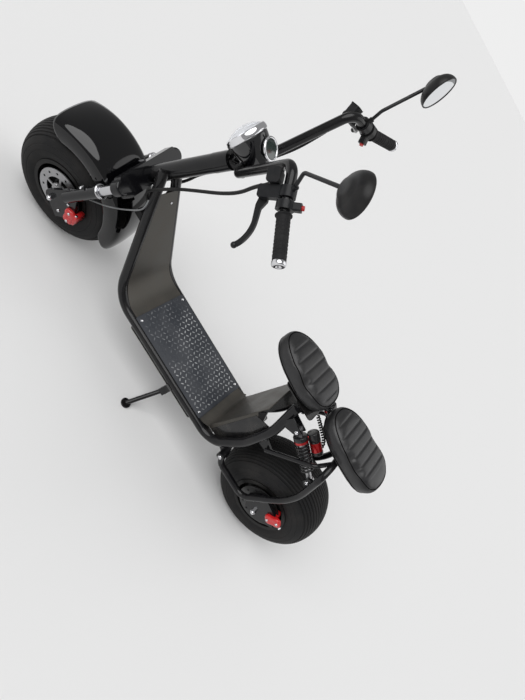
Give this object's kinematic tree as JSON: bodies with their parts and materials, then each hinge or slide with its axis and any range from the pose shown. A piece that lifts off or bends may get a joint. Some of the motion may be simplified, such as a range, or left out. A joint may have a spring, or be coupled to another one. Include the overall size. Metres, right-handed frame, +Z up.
{
  "type": "electric moped",
  "caption": "Two-seat electric moped with fat tyres, bent side rails, a leg shield and floor, round headlight and mirrors, leaning on its side stand.",
  "frame": {"origin": "middle of the outline, on the floor", "axes": "+X forwards along the moped, +Y to its left, towards which it leans, +Z up"},
  "size_m": [1.8506, 0.78, 1.4465],
  "materials": {
    "black_frame": "satin black paint",
    "dark_sheet": "satin dark grey paint, faintly brown",
    "floor_mat": "worn grey-blue chequered mat",
    "fender_gloss": "mirror-gloss black",
    "tyre": "dark road tyre, lightly dusty",
    "rim_black": "gloss black",
    "disc_steel": "ground steel",
    "chrome": "polished",
    "fork_black": "satin black",
    "stanchion_chrome": "hard chrome",
    "seat_leather": "black, soft sheen",
    "seat_pan": "black moulded",
    "spring_black": "gloss black coil",
    "red_anodised": "bright red",
    "caliper_red": "bright red paint",
    "grip_rubber": "textured black",
    "control_black": "black",
    "lever_black": "satin black",
    "mirror_shell": "matte black",
    "mirror_glass": "silvered",
    "light_shell": "gloss black",
    "light_chrome": "chrome",
    "clear_lens": "clear",
    "display_glass": "dark display",
    "lamp_red": "red lens",
    "hose_black": "black hose",
    "button_red": "red switch buttons"
  },
  "bodies": {
    "front_wheel": {"front_tyre": "tyre", "front_rim": "rim_black", "front_brake_disc": "disc_steel"},
    "rear_wheel": {"rear_tyre": "tyre", "rear_hub_motor": "rim_black", "rear_brake_disc": "disc_steel"},
    "steering": {"fork_crown": "fork_black", "fork_stanchions": "stanchion_chrome", "fork_sliders": "fork_black", "front_axle": "chrome", "front_fender": "fender_gloss", "handlebar": "black_frame", "grips": "grip_rubber", "grip_ends": "chrome", "brake_cylinders": "control_black", "brake_levers": "lever_black", "switch_pods": "control_black", "switch_buttons": "button_red", "mirror_stalks": "lever_black", "mirror_shells": "mirror_shell", "mirror_glasses": "mirror_glass", "stem": "black_frame", "headlight_shell": "light_shell", "headlight_rim": "light_chrome", "headlight_lens": "clear_lens", "display": "display_glass", "left_wire_bundle": "hose_black", "right_wire_bundle": "hose_black", "front_caliper": "caliper_red"},
    "frame": {"rear_axle": "chrome", "frame": "black_frame", "floor_and_leg_shield": "dark_sheet", "floor_mat": "floor_mat", "battery_box": "seat_pan", "riser_side_panels": "dark_sheet", "seat_base": "dark_sheet", "front_seat_cushion": "seat_leather", "front_seat_pan": "seat_pan", "rear_seat_cushion": "seat_leather", "rear_seat_pan": "seat_pan", "rear_hoops": "black_frame", "seat_stays": "black_frame", "rear_shocks": "disc_steel", "shock_springs": "spring_black", "shock_reservoirs": "red_anodised", "tail_lamp": "lamp_red", "cable_boot": "grip_rubber", "rear_caliper": "caliper_red", "stand_bracket": "black_frame"},
    "side_stand": {"side_stand_leg": "black_frame"}
  },
  "joints": [
    {"name": "steering_turn", "type": "hinge", "parent": "frame", "child": "steering", "pos_m": [0.67696, -0.15173, 0.21607], "axis": [-0.4202, 0.1575, 0.8936], "range_deg": [-47.4, 22.6], "deforming": ["left_wire_bundle", "right_wire_bundle"]},
    {"name": "front_wheel_spin", "type": "hinge", "parent": "steering", "child": "front_wheel", "pos_m": [0.69911, -0.14466, 0.22524], "axis": [-0.195, 0.9461, -0.2585], "continuous": true},
    {"name": "rear_wheel_spin", "type": "hinge", "parent": "frame", "child": "rear_wheel", "pos_m": [-0.69783, -0.14991, 0.22767], "axis": [-0.0002, 0.9848, -0.1736], "continuous": true},
    {"name": "side_stand_fold", "type": "hinge", "parent": "frame", "child": "side_stand", "pos_m": [-0.12894, -0.03546, 0.11608], "axis": [0.0006, 0.766, 0.6428], "range_deg": [0, 100]}
  ]
}
